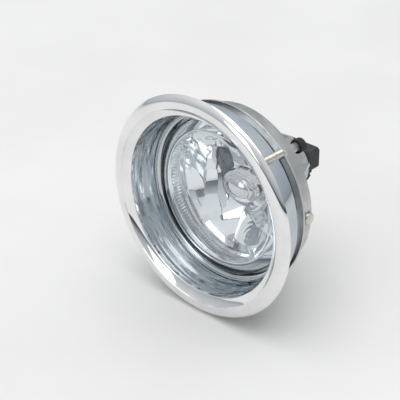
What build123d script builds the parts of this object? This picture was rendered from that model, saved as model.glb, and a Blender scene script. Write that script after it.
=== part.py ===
from build123d import *
import math
import os

# Round recessed fog light with a trim bezel.
# Frame: the origin is the centre of the bumper opening on the bezel's seat plane.
# +Y runs back into the vehicle, so the light shines along -Y. +Z is up, +X is right seen from the front.
# All lengths are in millimetres and all angles in degrees.

# Trim bezel
BEZEL_R = 75.0
BEZEL_EDGE_Y = -0.9
BEAD_CREST_R = 66.6
BEAD_CREST_Y = -4.2
BEAD_BULGE = 1.6
MOUTH_R = 61.0
MOUTH_Y = -0.9
CHAMFER_DIP = 0.25
BEZEL_REAR_Y = -0.3
GROOVE_IN_R = 63.9
GROOVE_OUT_R = 73.6
GROOVE_Y = -1.9

# Recess cup and its spigot
SPIGOT_R = 63.0
SPIGOT_END_Y = 20.0
SPIGOT_WALL = 1.6
JOINT_Y = 1.2
CUP_FRONT_R = 61.2
CUP_REAR_R = 55.8
CUP_REAR_Y = 26.0
CUP_WALL = 1.6
CUP_HOLLOW_Y = 8.2
TONGUE_IN_R = 61.7
TONGUE_OUT_R = 62.4
TONGUE_Y = -0.1
TONGUE_PLAY = 0.1
BOSS_CIRCLE_R = 60.1
BOSS_R = 2.6
BOSS_FRONT_Y = 18.8
PILOT_FRONT_Y = 19.8

# Gasket and studs that hold the light to the bumper
GASKET_PLAY = 0.2
STUD_CIRCLE_R = 68.75
STUD_R = 2.5
STUD_TIP_CHAMFER = 0.6
STUD_END_Y = 20.0
STUD_COLLAR_R = 3.4
STUD_NECK_R = 2.9
STUD_HOLE_R = 3.7
STUD_COUNT = 4
FIRST_STUD_ANGLE = 45.0

# Bracket ring that carries the lamp
RING_IN_R = 55.9
RING_OUT_R = 57.3
RING_FLANGE_R = 62.4
RING_FLANGE_T = 1.6
RING_END_Y = 40.0
ARM_IN_R = 60.6
ARM_OUT_R = 62.2
ARM_HALF_W = 11.0
TAB_BACK_Y = 60.0
TAB_T = 1.6
TAB_TOP_Z = -43.5
BRACKET_SCREW_R = 1.5
BRACKET_HEAD_R = 2.3
BRACKET_HEAD_T = 1.9
BRACKET_DRIVE_R = 1.1
BRACKET_DRIVE_DEPTH = 1.1

# Pivots of the lamp
PIVOT_Y = 36.0
PIN_R = 2.5
PIN_IN_X = 50.6
PIN_HEAD_R = 4.0
PIN_HEAD_T = 2.2
RUNNING_CLEARANCE = 0.05
BUSH_R = 4.0
BUSH_IN_X = 50.2
BUSH_FLANGE_R = 5.2
BUSH_FLANGE_T = 0.7
PIVOT_BOSS_R = 6.2
PIVOT_BOSS_IN_X = 43.0
PIVOT_BOSS_END_X = 54.5

# Lens
LENS_R = 53.0
LENS_T = 3.0
LENS_SKIRT_IN_R = 50.2
LENS_TIP_Y = 11.2
LENS_SHOULDER_R = 46.0
LENS_SHOULDER_Y = 15.2
LENS_SIDE_Y = 19.4
LENS_END_Y = 29.0

# Lamp housing
HOUSING_R = 54.4
HOUSING_FRONT_Y = 24.0
CHANNEL_OUT_R = 53.2
CHANNEL_IN_R = 49.8
CHANNEL_FLOOR_Y = 30.6
LEDGE_IN_R = 48.4
LEDGE_Y = 26.0
BOWL_TOP_Y = 33.0
BOWL_IN = ((47.9, 34.0), (37.2, 53.2), (15.0, 71.0))
BOWL_OUT = ((50.4, 35.0), (39.2, 55.0), (18.4, 72.6))
SOCKET_IN_R = 13.2
SOCKET_OUT_R = 17.2
SOCKET_FRONT_Y = 71.0
SOCKET_END_Y = 86.0
LUG_IN_R = 11.9
LUG_Y = (81.0, 83.0)
LUG_SPAN = 44.0
BAYONET_COUNT = 3
RIB_COUNT = 8
RIB_T = 1.8
RIB_REAR_Y = 77.0
RIB_FRONT_Y = 42.0
RIB_IN_R = 15.0
RIB_FRONT_R = 49.5
RIB_REAR_R = 27.0

# Reflector: a paraboloid with a fluted skirt, a rolled rim and a mounting flange
REFLECTOR_VERTEX_Y = 68.0
REFLECTOR_FOCAL = 14.03
REFLECTOR_DISH_R = 44.0
REFLECTOR_MOUTH_R = 45.0
REFLECTOR_MOUTH_Y = 22.2
REFLECTOR_T = 1.8
REFLECTOR_HOLE_R = 11.5
RIM_TOP_Y = 21.5
RIM_OUT_R = 46.9
REFLECTOR_FLANGE_R = 49.6
REFLECTOR_FLANGE_Y = 24.6

# Bulb shield: a round cap stretched along X and flattened along Y about its widest plane
SHIELD_R = 10.9
SHIELD_T = 0.7
SHIELD_SKIRT = 6.5
SHIELD_STRETCH = 1.38
SHIELD_FLATTEN = 0.89
SHIELD_MIDDLE_Y = 42.0
LEG_FRONT_Y = 43.5
LEG_W = 7.0
LEG_T = 0.8
LEG_FOOT_IN_R = 13.5
LEG_FOOT_OUT_R = 21.0
LEG_LIFT = 0.25
RIVET_R = 1.5
RIVET_HEAD_R = 2.7
RIVET_HEAD_T = 0.9
RIVET_Z = 17.2

# Bulb
GLASS_R = 5.6
GLASS_T = 0.8
GLASS_TIP_Y = 43.5
GLASS_PINCH_Y = 61.0
GLASS_END_Y = 67.0
FILAMENT_R = 0.75
FILAMENT_Y = (50.5, 55.5)
LEAD_R = 0.4
LEAD_X = 2.4
COLLAR_R = 8.0
COLLAR_Y = (62.0, 70.0)
BASE_NECK_R = 11.7
BASE_FRONT_Y = 70.0
BASE_TAB_R = 13.0
BASE_TAB_Y = (78.6, 80.8)
BASE_TAB_SPAN = 40.0
BASE_FLANGE_R = 17.2
BASE_FLANGE_Y = (86.3, 89.5)
GRIP_COUNT = 12
GRIP_R = 1.2
ORING_GROOVE_R = 11.0
ORING_Y = (74.0, 76.2)
ORING_R = 13.1

# Connector socket on the bulb base
SHROUD_W = 23.0
SHROUD_H = 15.0
SHROUD_WALL = 1.8
SHROUD_END_Y = 104.0
SHROUD_FLOOR_Y = 92.0
SHROUD_CORNER_R = 2.5
LATCH_W = 6.0
LATCH_H = 1.6
LATCH_Y = (96.0, 100.0)
TERMINAL_X = 6.0
TERMINAL_W = 2.8
TERMINAL_T = 0.8
TERMINAL_Y = (88.0, 101.5)

# Aiming screw, nut and clip
AIM_Z = -51.5
AIM_R = 2.5
AIM_TIP_Y = 41.5
AIM_HEAD_R = 4.6
AIM_HEAD_T = 4.2
AIM_HEAD_GAP = 0.15
AIM_DRIVE_R = 2.0
AIM_DRIVE_DEPTH = 2.4
CLIP_R = 4.6
CLIP_T = 1.2
CLIP_GAP = 0.3
NUT_Y = (46.0, 50.5)
NUT_BORE_R = 3.9
NUT_R = 5.0
NUT_FLANGE_R = 6.0
NUT_FLANGE_T = 1.0
NUT_LUG_R = 6.4
NUT_LUG_TOP_Z = -38.0

# Breather on the back of the housing
VENT_X = 22.0
VENT_Z = 26.0
VENT_R = 3.0
VENT_BORE_R = 1.4
VENT_FRONT_Y = 56.0
VENT_END_Y = 69.5
CAP_R = 4.8
CAP_FRONT_Y = 66.0
CAP_END_Y = 71.5


def ring_of(*edges):
    """Solid of revolution about Y; the profile lies in XY with X as the radius."""
    return revolve(make_face(Curve() + list(edges)), axis=Axis.Y)


def ring(points):
    """Solid of revolution about Y with straight sides; points are (radius, y)."""
    return revolve(make_face(Polyline(*points, close=True)), axis=Axis.Y)


def rod_y(radius, y_from, y_to, x=0.0, z=0.0):
    """Cylinder along Y."""
    rod = Cylinder(radius, y_to - y_from, align=(Align.CENTER, Align.CENTER, Align.MIN))
    return Pos(x, y_from, z) * Rot(X=-90) * rod


def rod_x(radius, x_from, x_to, y=0.0, z=0.0):
    """Cylinder along X."""
    rod = Cylinder(radius, x_to - x_from, align=(Align.CENTER, Align.CENTER, Align.MIN))
    return Pos(x_from, y, z) * Rot(Y=90) * rod


def block(x_range, y_range, z_range):
    """Box between two corners."""
    size = [pair[1] - pair[0] for pair in (x_range, y_range, z_range)]
    middle = [(pair[1] + pair[0]) / 2 for pair in (x_range, y_range, z_range)]
    return Pos(*middle) * Box(*size)


def around(shape, count, first=0.0):
    """Copies of a shape turned evenly about Y, starting at an angle from +X towards +Z."""
    return [Rot(Y=-(first + index * 360.0 / count)) * shape for index in range(count)]


def sector(inner_r, outer_r, y_range, span, first, count):
    """Evenly spaced pieces of a ring, each spanning an angle about its centre line."""
    profile = [(inner_r, y_range[0]), (outer_r, y_range[0]), (outer_r, y_range[1]), (inner_r, y_range[1])]
    piece = revolve(make_face(Polyline(*profile, close=True)), axis=Axis.Y, revolution_arc=span)
    return around(Rot(Y=-span / 2) * piece, count, first)


def dome_arc(tip_y, edge_r, edge_y):
    """Arc from a tip on the axis to an edge, part of a circle centred exactly on the axis."""
    rise = edge_y - tip_y
    sphere_r = (edge_r ** 2 + rise ** 2) / (2 * rise)
    middle_r = edge_r / 2
    middle_y = tip_y + sphere_r - math.sqrt(sphere_r ** 2 - middle_r ** 2)
    return ThreePointArc((0, tip_y), (middle_r, middle_y), (edge_r, edge_y))


def cup_radius(y):
    """Inner radius of the conical well at a depth."""
    return CUP_FRONT_R + (CUP_REAR_R - CUP_FRONT_R) * (y - JOINT_Y) / (CUP_REAR_Y - JOINT_Y)


def dish_y(radius):
    """Depth of the reflecting surface at a radius."""
    return REFLECTOR_VERTEX_Y - radius ** 2 / (4 * REFLECTOR_FOCAL)


def dish_curve(radius_from, radius_to, offset=0.0):
    """Parabola of the reflector as an exact quadratic Bezier curve, moved back by an offset."""
    start = (radius_from, dish_y(radius_from) + offset)
    end = (radius_to, dish_y(radius_to) + offset)
    slope = -radius_from / (2 * REFLECTOR_FOCAL)
    control = ((radius_from + radius_to) / 2, start[1] + slope * (radius_to - radius_from) / 2)
    return Bezier(start, control, end)


def trim_bezel():
    edge = (BEZEL_R, BEZEL_EDGE_Y)
    crest = (BEAD_CREST_R, BEAD_CREST_Y)
    mouth = (MOUTH_R, MOUTH_Y)
    chord = math.dist(edge, crest)
    bulge_r = (BEZEL_R + BEAD_CREST_R) / 2 + BEAD_BULGE * (BEZEL_EDGE_Y - BEAD_CREST_Y) / chord
    bulge_y = (BEZEL_EDGE_Y + BEAD_CREST_Y) / 2 - BEAD_BULGE * (BEZEL_R - BEAD_CREST_R) / chord
    dip_r = (BEAD_CREST_R + MOUTH_R) / 2
    dip_y = (BEAD_CREST_Y + MOUTH_Y) / 2 + CHAMFER_DIP
    bead = ThreePointArc(edge, (bulge_r, bulge_y), crest)
    chamfer = ThreePointArc(crest, (dip_r, dip_y), mouth)
    slot_in = TONGUE_IN_R - TONGUE_PLAY
    slot_out = TONGUE_OUT_R + TONGUE_PLAY
    slot_y = TONGUE_Y - TONGUE_PLAY
    back = Polyline(
        mouth,
        (MOUTH_R, JOINT_Y),
        (slot_in, JOINT_Y),
        (slot_in, slot_y),
        (slot_out, slot_y),
        (slot_out, JOINT_Y),
        (SPIGOT_R, JOINT_Y),
        (SPIGOT_R, BEZEL_REAR_Y),
        (GROOVE_IN_R, BEZEL_REAR_Y),
        (GROOVE_IN_R, GROOVE_Y),
        (GROOVE_OUT_R, GROOVE_Y),
        (GROOVE_OUT_R, BEZEL_REAR_Y),
        (BEZEL_R, BEZEL_REAR_Y),
        edge,
    )
    return ring_of(bead, chamfer, back)


def flange_gasket():
    inner = GROOVE_IN_R + GASKET_PLAY
    outer = GROOVE_OUT_R - GASKET_PLAY
    gasket = ring([(inner, GROOVE_Y), (outer, GROOVE_Y), (outer, 0), (inner, 0)])
    for hole in around(rod_y(STUD_HOLE_R, GROOVE_Y - 1, 1, x=STUD_CIRCLE_R), STUD_COUNT, FIRST_STUD_ANGLE):
        gasket -= hole
    return gasket


def bezel_stud():
    """One threaded stud: a collar inside the gasket, a conical neck, and the shank from the seat plane."""
    tip_r = STUD_R - STUD_TIP_CHAMFER
    outline = [
        (0, GROOVE_Y),
        (STUD_COLLAR_R, GROOVE_Y),
        (STUD_COLLAR_R, BEZEL_REAR_Y),
        (STUD_NECK_R, BEZEL_REAR_Y),
        (STUD_R, 0),
        (STUD_R, STUD_END_Y - STUD_TIP_CHAMFER),
        (tip_r, STUD_END_Y),
        (0, STUD_END_Y),
    ]
    return Pos(STUD_CIRCLE_R, 0, 0) * ring(outline)


def recess_cup():
    outline = [
        (CUP_FRONT_R, JOINT_Y),
        (TONGUE_IN_R, JOINT_Y),
        (TONGUE_IN_R, TONGUE_Y),
        (TONGUE_OUT_R, TONGUE_Y),
        (TONGUE_OUT_R, JOINT_Y),
        (SPIGOT_R, JOINT_Y),
        (SPIGOT_R, SPIGOT_END_Y),
        (SPIGOT_R - SPIGOT_WALL, SPIGOT_END_Y),
        (SPIGOT_R - SPIGOT_WALL, CUP_HOLLOW_Y),
        (cup_radius(CUP_HOLLOW_Y) + CUP_WALL, CUP_HOLLOW_Y),
        (CUP_REAR_R + CUP_WALL, CUP_REAR_Y),
        (CUP_REAR_R, CUP_REAR_Y),
    ]
    cup = ring(outline)
    for boss in around(rod_y(BOSS_R, BOSS_FRONT_Y, CUP_REAR_Y, x=BOSS_CIRCLE_R), STUD_COUNT, FIRST_STUD_ANGLE):
        cup += boss
    pilot = rod_y(BRACKET_SCREW_R, PILOT_FRONT_Y, CUP_REAR_Y + 1, x=BOSS_CIRCLE_R)
    for hole in around(pilot, STUD_COUNT, FIRST_STUD_ANGLE):
        cup -= hole
    return cup


def bracket_ring():
    """Stamped ring with a front flange, a lower arm and a bent tab for the aiming screw."""
    flange_back = CUP_REAR_Y + RING_FLANGE_T
    bracket = ring([
        (RING_IN_R, CUP_REAR_Y),
        (RING_FLANGE_R, CUP_REAR_Y),
        (RING_FLANGE_R, flange_back),
        (RING_OUT_R, flange_back),
        (RING_OUT_R, RING_END_Y),
        (RING_IN_R, RING_END_Y),
    ])
    arm_tube = ring([
        (ARM_IN_R, CUP_REAR_Y),
        (ARM_OUT_R, CUP_REAR_Y),
        (ARM_OUT_R, TAB_BACK_Y),
        (ARM_IN_R, TAB_BACK_Y),
    ])
    arm_side = (-ARM_HALF_W, ARM_HALF_W)
    arm = arm_tube & block(arm_side, (CUP_REAR_Y, TAB_BACK_Y), (-BEZEL_R, 0))
    tab_disc = rod_y(ARM_OUT_R, TAB_BACK_Y - TAB_T, TAB_BACK_Y)
    tab = tab_disc & block(arm_side, (TAB_BACK_Y - TAB_T, TAB_BACK_Y), (-BEZEL_R, TAB_TOP_Z))
    bracket += arm
    bracket += tab
    hole = rod_y(BRACKET_SCREW_R, CUP_REAR_Y - 1, flange_back + 1, x=BOSS_CIRCLE_R)
    for screw_hole in around(hole, STUD_COUNT, FIRST_STUD_ANGLE):
        bracket -= screw_hole
    bracket -= rod_x(PIN_R, -BEZEL_R, BEZEL_R, y=PIVOT_Y)
    bracket -= rod_y(AIM_R + RUNNING_CLEARANCE, TAB_BACK_Y - TAB_T - 1, TAB_BACK_Y + 1, z=AIM_Z)
    return bracket


def bracket_screw():
    seat = CUP_REAR_Y + RING_FLANGE_T
    screw = rod_y(BRACKET_SCREW_R, PILOT_FRONT_Y, seat)
    screw += rod_y(BRACKET_HEAD_R, seat, seat + BRACKET_HEAD_T)
    drive = extrude(
        Plane.XZ.offset(-(seat + BRACKET_HEAD_T)) * RegularPolygon(BRACKET_DRIVE_R, 6),
        BRACKET_DRIVE_DEPTH,
    )
    return Pos(BOSS_CIRCLE_R, 0, 0) * (screw - drive)


def pivot_pin(side):
    head_in = RING_OUT_R
    shank = rod_x(PIN_R, PIN_IN_X, head_in, y=PIVOT_Y)
    head = rod_x(PIN_HEAD_R, head_in, head_in + PIN_HEAD_T, y=PIVOT_Y)
    head = fillet(head.edges().group_by(Axis.X)[-1], PIN_HEAD_T / 3)
    pin = shank + head
    return pin if side > 0 else mirror(pin, about=Plane.YZ)


def pivot_bush(side):
    flange_end = PIVOT_BOSS_END_X + BUSH_FLANGE_T
    bush = rod_x(BUSH_R, BUSH_IN_X, PIVOT_BOSS_END_X, y=PIVOT_Y)
    bush += rod_x(BUSH_FLANGE_R, PIVOT_BOSS_END_X, flange_end, y=PIVOT_Y)
    bush -= rod_x(PIN_R + RUNNING_CLEARANCE, BUSH_IN_X - 1, flange_end + 1, y=PIVOT_Y)
    return bush if side > 0 else mirror(bush, about=Plane.YZ)


def housing_shell():
    bowl_in = ThreePointArc(*reversed(BOWL_IN))
    bowl_out = ThreePointArc(*BOWL_OUT)
    rear = Polyline(
        BOWL_OUT[2],
        (SOCKET_OUT_R, SOCKET_FRONT_Y + RIB_T * 2),
        (SOCKET_OUT_R, SOCKET_END_Y),
        (SOCKET_IN_R, SOCKET_END_Y),
        (SOCKET_IN_R, SOCKET_FRONT_Y),
        BOWL_IN[2],
    )
    front = Polyline(
        BOWL_IN[0],
        (LEDGE_IN_R, BOWL_TOP_Y),
        (LEDGE_IN_R, LEDGE_Y),
        (CHANNEL_IN_R, LEDGE_Y),
        (CHANNEL_IN_R, CHANNEL_FLOOR_Y),
        (CHANNEL_OUT_R, CHANNEL_FLOOR_Y),
        (CHANNEL_OUT_R, HOUSING_FRONT_Y),
        (HOUSING_R, HOUSING_FRONT_Y),
        (HOUSING_R, BOWL_TOP_Y),
        BOWL_OUT[0],
    )
    return ring_of(bowl_out, rear, bowl_in, front)


def wall_core():
    """What lies inside the middle of the housing's walls, used to trim the pieces added outside them."""
    middle = [((inner[0] + outer[0]) / 2, (inner[1] + outer[1]) / 2) for inner, outer in zip(BOWL_IN, BOWL_OUT)]
    socket_r = (SOCKET_IN_R + SOCKET_OUT_R) / 2
    front_y = (CHANNEL_FLOOR_Y + BOWL_TOP_Y) / 2
    behind_y = SOCKET_END_Y + 1
    bowl = ThreePointArc(*middle)
    rear = Polyline(middle[2], (socket_r, middle[2][1] + RIB_T), (socket_r, behind_y), (0, behind_y), (0, front_y))
    front = Polyline((0, front_y), (middle[0][0], front_y), middle[0])
    return ring_of(front, bowl, rear) + rod_y(BEZEL_R, 0, front_y)


def housing_additions():
    """Pivot bosses, ribs, the lug of the aiming nut and the breather nipple."""
    rib_outline = [
        (RIB_IN_R, RIB_FRONT_Y),
        (RIB_FRONT_R, RIB_FRONT_Y),
        (RIB_REAR_R, RIB_REAR_Y),
        (RIB_IN_R, RIB_REAR_Y),
    ]
    rib = extrude(make_face(Polyline(*rib_outline, close=True)), RIB_T / 2, both=True)
    pieces = around(rib, RIB_COUNT, 360.0 / RIB_COUNT / 2)
    pieces.append(rod_x(PIVOT_BOSS_R, PIVOT_BOSS_IN_X, PIVOT_BOSS_END_X, y=PIVOT_Y))
    pieces.append(rod_x(PIVOT_BOSS_R, -PIVOT_BOSS_END_X, -PIVOT_BOSS_IN_X, y=PIVOT_Y))
    pieces.append(rod_y(NUT_LUG_R, *NUT_Y, z=AIM_Z))
    pieces.append(block((-NUT_LUG_R, NUT_LUG_R), NUT_Y, (AIM_Z, NUT_LUG_TOP_Z)))
    pieces.append(rod_y(VENT_R, VENT_FRONT_Y, VENT_END_Y, x=VENT_X, z=VENT_Z))
    return pieces


def lamp_housing():
    housing = housing_shell()
    core = wall_core()
    for piece in housing_additions():
        housing += piece - core
    for side in (-1, 1):
        start, end = sorted((side * BUSH_IN_X, side * BEZEL_R))
        housing -= rod_x(BUSH_R, start, end, y=PIVOT_Y)
    housing -= rod_y(NUT_R, NUT_Y[0] - 1, NUT_Y[1] + 1, z=AIM_Z)
    housing -= rod_y(VENT_BORE_R, VENT_FRONT_Y - 6, VENT_END_Y + 1, x=VENT_X, z=VENT_Z)
    for lug in sector(LUG_IN_R, SOCKET_IN_R + 1, LUG_Y, LUG_SPAN, 90.0, BAYONET_COUNT):
        housing += lug
    return housing


def lens_seal():
    play = GASKET_PLAY / 2
    inner = CHANNEL_IN_R + play
    outer = CHANNEL_OUT_R - play
    return ring([(inner, LENS_END_Y), (outer, LENS_END_Y), (outer, CHANNEL_FLOOR_Y), (inner, CHANNEL_FLOOR_Y)])


def lens():
    """Domed clear lens with a rounded shoulder and a skirt that sits in the housing's channel."""
    shoulder = (LENS_SHOULDER_R, LENS_SHOULDER_Y)
    side = (LENS_R, LENS_SIDE_Y)
    round_r = LENS_SHOULDER_R + (LENS_R - LENS_SHOULDER_R) * math.sin(math.radians(45))
    round_y = LENS_SIDE_Y - (LENS_SIDE_Y - LENS_SHOULDER_Y) * math.sin(math.radians(45))
    in_shoulder = (LENS_SHOULDER_R - LENS_T, LENS_SHOULDER_Y + LENS_T)
    in_side = (LENS_SKIRT_IN_R, LENS_SIDE_Y + LENS_T)
    in_round = (in_side[0] - LENS_T / 4, in_shoulder[1] + LENS_T / 3)
    return ring_of(
        dome_arc(LENS_TIP_Y, *shoulder),
        ThreePointArc(shoulder, (round_r, round_y), side),
        Polyline(side, (LENS_R, LENS_END_Y), (LENS_SKIRT_IN_R, LENS_END_Y), in_side),
        ThreePointArc(in_side, in_round, in_shoulder),
        dome_arc(LENS_TIP_Y + LENS_T, *in_shoulder),
        Line((0, LENS_TIP_Y + LENS_T), (0, LENS_TIP_Y)),
    )


def reflector():
    dish = dish_curve(REFLECTOR_HOLE_R, REFLECTOR_DISH_R)
    back_r = REFLECTOR_DISH_R + REFLECTOR_T
    back = dish_curve(back_r, REFLECTOR_HOLE_R, REFLECTOR_T)
    rim = Polyline(
        (REFLECTOR_DISH_R, dish_y(REFLECTOR_DISH_R)),
        (REFLECTOR_MOUTH_R, REFLECTOR_MOUTH_Y),
        (REFLECTOR_MOUTH_R + 0.5, RIM_TOP_Y),
        (RIM_OUT_R - 0.5, RIM_TOP_Y),
        (RIM_OUT_R, REFLECTOR_MOUTH_Y),
        (RIM_OUT_R, REFLECTOR_FLANGE_Y),
        (REFLECTOR_FLANGE_R, REFLECTOR_FLANGE_Y),
        (REFLECTOR_FLANGE_R, LEDGE_Y),
        (RIM_OUT_R, LEDGE_Y),
        (back_r, dish_y(back_r) + REFLECTOR_T),
    )
    hole = Line(
        (REFLECTOR_HOLE_R, dish_y(REFLECTOR_HOLE_R) + REFLECTOR_T),
        (REFLECTOR_HOLE_R, dish_y(REFLECTOR_HOLE_R)),
    )
    return ring_of(dish, rim, back, hole) - below(rivet_shank())


def bulb_shield():
    """Stamped oval dome with a short skirt round the bulb's tip."""
    inner_r = SHIELD_R - SHIELD_T
    cap = ring_of(
        dome_arc(-SHIELD_R, SHIELD_R, 0),
        Polyline((SHIELD_R, 0), (SHIELD_R, SHIELD_SKIRT), (inner_r, SHIELD_SKIRT), (inner_r, 0)),
        dome_arc(-inner_r, inner_r, 0),
        Line((0, -inner_r), (0, -SHIELD_R)),
    )
    return Pos(0, SHIELD_MIDDLE_Y, 0) * scale(cap, by=(SHIELD_STRETCH, SHIELD_FLATTEN, 1))


def below(shape):
    """The same shape turned from above the axis to below it."""
    return Rot(Y=180) * shape


def foot_direction():
    """Unit vector up the leg's foot, in (y, z)."""
    run = (dish_y(LEG_FOOT_OUT_R) - dish_y(LEG_FOOT_IN_R), LEG_FOOT_OUT_R - LEG_FOOT_IN_R)
    length = math.hypot(*run)
    return run[0] / length, run[1] / length


def rivet_plane():
    """Plane on the reflecting surface at the rivet, whose normal points out of the dish."""
    along_y, along_z = foot_direction()
    share = (RIVET_Z - LEG_FOOT_IN_R) / (LEG_FOOT_OUT_R - LEG_FOOT_IN_R)
    seat_y = dish_y(LEG_FOOT_IN_R) + share * (dish_y(LEG_FOOT_OUT_R) - dish_y(LEG_FOOT_IN_R)) - LEG_LIFT
    return Plane(origin=(0, seat_y, RIVET_Z), z_dir=(0, -along_z, along_y))


def rivet_shank():
    length = REFLECTOR_T * 2 + LEG_T
    return rivet_plane() * Pos(0, 0, LEG_T) * Cylinder(
        RIVET_R, length, align=(Align.CENTER, Align.CENTER, Align.MAX)
    )


def shield_leg():
    along_y, along_z = foot_direction()
    front_y = -along_z * LEG_T
    front_z = along_y * LEG_T
    foot_in = (dish_y(LEG_FOOT_IN_R) - LEG_LIFT, LEG_FOOT_IN_R)
    foot_out = (dish_y(LEG_FOOT_OUT_R) - LEG_LIFT, LEG_FOOT_OUT_R)
    strap_in = SHIELD_R
    strap_out = SHIELD_R + LEG_T
    outline = [
        (LEG_FRONT_Y, strap_in),
        (foot_in[0] - LEG_T / 2, strap_in),
        foot_in,
        foot_out,
        (foot_out[0] + front_y, foot_out[1] + front_z),
        (foot_in[0] + front_y, foot_in[1] + front_z),
        (foot_in[0] - LEG_T * 1.5, strap_out),
        (LEG_FRONT_Y, strap_out),
    ]
    leg = extrude(Plane.YZ * make_face(Polyline(*outline, close=True)), LEG_W / 2, both=True)
    return below(leg - rivet_shank())


def shield_rivet():
    head = Cylinder(RIVET_HEAD_R, RIVET_HEAD_T, align=(Align.CENTER, Align.CENTER, Align.MIN))
    head = chamfer(head.edges().group_by(Axis.Z)[-1], RIVET_HEAD_T / 2)
    return below(rivet_shank() + rivet_plane() * Pos(0, 0, LEG_T) * head)


def bulb_glass():
    centre_y = GLASS_TIP_Y + GLASS_R
    outer = rod_y(GLASS_R, centre_y, GLASS_END_Y) + Pos(0, centre_y, 0) * Sphere(GLASS_R)
    inner_r = GLASS_R - GLASS_T
    inner = rod_y(inner_r, centre_y, GLASS_PINCH_Y) + Pos(0, centre_y, 0) * Sphere(inner_r)
    glass = outer - inner
    for side in (-1, 1):
        glass -= rod_y(LEAD_R, GLASS_PINCH_Y - 1, GLASS_END_Y + 1, x=side * LEAD_X)
    return glass


def filament():
    """Tungsten coil, as the closed cylinder of its outer size, on the light's axis."""
    return rod_y(FILAMENT_R, *FILAMENT_Y)


def lead_wire(side):
    """One support wire from the base up beside the filament, bent in to the filament's end."""
    bend_y = FILAMENT_Y[0] if side > 0 else FILAMENT_Y[1]
    bend_y += LEAD_R if side > 0 else -LEAD_R
    wire = rod_y(LEAD_R, bend_y - LEAD_R, GLASS_END_Y + 1, x=side * LEAD_X)
    start, end = sorted((side * FILAMENT_R, side * LEAD_X))
    wire += rod_x(LEAD_R, start, end, y=bend_y)
    return wire


def bulb_collar():
    inner = ring([(0, COLLAR_Y[0] - 1), (GLASS_R, COLLAR_Y[0] - 1), (GLASS_R, GLASS_END_Y), (0, GLASS_END_Y)])
    collar = rod_y(COLLAR_R, *COLLAR_Y) - inner
    for side in (-1, 1):
        collar -= rod_y(LEAD_R, GLASS_END_Y - 1, GLASS_END_Y + 1, x=side * LEAD_X)
    return collar


def bulb_base():
    """Moulded base: neck with O-ring groove, bayonet tabs, grip flange and connector shroud."""
    base = ring([
        (0, BASE_FRONT_Y),
        (BASE_NECK_R, BASE_FRONT_Y),
        (BASE_NECK_R, ORING_Y[0]),
        (ORING_GROOVE_R, ORING_Y[0]),
        (ORING_GROOVE_R, ORING_Y[1]),
        (BASE_NECK_R, ORING_Y[1]),
        (BASE_NECK_R, BASE_FLANGE_Y[0]),
        (BASE_FLANGE_R, BASE_FLANGE_Y[0]),
        (BASE_FLANGE_R, BASE_FLANGE_Y[1]),
        (0, BASE_FLANGE_Y[1]),
    ])
    for tab in sector(BASE_NECK_R - 1, BASE_TAB_R, BASE_TAB_Y, BASE_TAB_SPAN, 90.0, BAYONET_COUNT):
        base += tab
    grip = rod_y(GRIP_R, BASE_FLANGE_Y[0] - 1, BASE_FLANGE_Y[1] + 1, x=BASE_FLANGE_R)
    for notch in around(grip, GRIP_COUNT, 180.0 / GRIP_COUNT):
        base -= notch
    return base + connector_shroud() - terminal_pair()


def connector_shroud():
    outer = Plane.XZ * RectangleRounded(SHROUD_W, SHROUD_H, SHROUD_CORNER_R)
    inner = Plane.XZ * RectangleRounded(
        SHROUD_W - 2 * SHROUD_WALL, SHROUD_H - 2 * SHROUD_WALL, SHROUD_CORNER_R - SHROUD_WALL / 2
    )
    start_y = BASE_FLANGE_Y[1]
    shroud = Pos(0, SHROUD_END_Y, 0) * extrude(outer, SHROUD_END_Y - start_y)
    cavity = Pos(0, SHROUD_END_Y + 1, 0) * extrude(inner, SHROUD_END_Y + 1 - SHROUD_FLOOR_Y)
    top = SHROUD_H / 2
    ramp = [(LATCH_Y[0], top - 0.5), (LATCH_Y[0], top + LATCH_H), (LATCH_Y[1], top - 0.5)]
    latch = extrude(Plane.YZ * make_face(Polyline(*ramp, close=True)), LATCH_W / 2, both=True)
    return shroud - cavity + latch


def terminal_pair():
    """Both blade terminals, joined only so that their slots can be cut."""
    return terminal(-1) + terminal(1)


def terminal(side):
    half = (TERMINAL_T / 2, TERMINAL_W / 2)
    x_range = (side * TERMINAL_X - half[0], side * TERMINAL_X + half[0])
    return block(x_range, TERMINAL_Y, (-half[1], half[1]))


def bulb_o_ring():
    return ring([
        (ORING_GROOVE_R, ORING_Y[0]),
        (ORING_R, ORING_Y[0]),
        (ORING_R, ORING_Y[1]),
        (ORING_GROOVE_R, ORING_Y[1]),
    ])


def aim_screw():
    head_y = TAB_BACK_Y + AIM_HEAD_GAP
    screw = rod_y(AIM_R, AIM_TIP_Y, head_y, z=AIM_Z)
    hexagon = Plane.XZ.offset(-(head_y + AIM_HEAD_T)) * Pos(0, AIM_Z) * RegularPolygon(AIM_HEAD_R, 6)
    screw += extrude(hexagon, AIM_HEAD_T)
    socket = Plane.XZ.offset(-(head_y + AIM_HEAD_T)) * Pos(0, AIM_Z) * RegularPolygon(AIM_DRIVE_R, 6)
    return screw - extrude(socket, AIM_DRIVE_DEPTH)


def aim_screw_clip():
    """Push-on retaining ring on the screw, in front of the bracket's tab."""
    back = TAB_BACK_Y - TAB_T - CLIP_GAP
    clip = rod_y(CLIP_R, back - CLIP_T, back, z=AIM_Z)
    return clip - rod_y(AIM_R, back - CLIP_T - 1, back + 1, z=AIM_Z)


def aim_nut():
    """Flanged sleeve in the housing's lug, with room for the lug to swing round the screw."""
    nut = rod_y(NUT_R, *NUT_Y, z=AIM_Z)
    nut += rod_y(NUT_FLANGE_R, NUT_Y[1], NUT_Y[1] + NUT_FLANGE_T, z=AIM_Z)
    return nut - rod_y(NUT_BORE_R, NUT_Y[0] - 1, NUT_Y[1] + NUT_FLANGE_T + 1, z=AIM_Z)


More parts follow.
